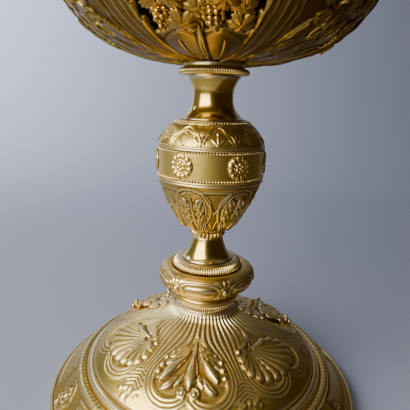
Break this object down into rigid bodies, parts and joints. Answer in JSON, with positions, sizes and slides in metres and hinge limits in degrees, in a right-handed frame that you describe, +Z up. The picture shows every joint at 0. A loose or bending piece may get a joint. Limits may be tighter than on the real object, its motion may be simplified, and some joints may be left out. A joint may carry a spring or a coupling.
{
  "type": "ciborium",
  "caption": "Gilt ciborium: wide lidded bowl in a pierced cradle of straps, vine leaves and grapes, on a knopped stem and a chased domed foot.",
  "frame": {"origin": "middle of the foot's underside, on the surface it stands on", "axes": "+Z up along the stem, -Y towards the side that the picture shows, +X to its right"},
  "size_m": [0.155, 0.155, 0.317],
  "materials": {
    "chased_gilt": "fire-gilt metal, chased and worn, brown in the recesses",
    "polished_gilt": "fire-gilt metal, burnished bright",
    "cast_gilt": "cast and gilt, paler and matt, dark in the hollows"
  },
  "bodies": {
    "root": {"foot": "chased_gilt", "vine_spray_right": "cast_gilt", "vine_spray_left": "cast_gilt", "foot_collar": "chased_gilt", "lower_knop": "chased_gilt", "milled_ring": "chased_gilt", "bell_spool": "polished_gilt", "gadroon_ring": "chased_gilt", "main_knop": "chased_gilt", "rosette_1": "cast_gilt", "rosette_2": "cast_gilt", "rosette_3": "cast_gilt", "rosette_4": "cast_gilt", "rosette_5": "cast_gilt", "rosette_6": "cast_gilt", "stem_neck": "polished_gilt", "bowl_collar": "chased_gilt", "false_cup": "chased_gilt", "cup": "polished_gilt", "lid": "chased_gilt", "finial": "polished_gilt", "cross": "cast_gilt"}
  },
  "joints": []
}
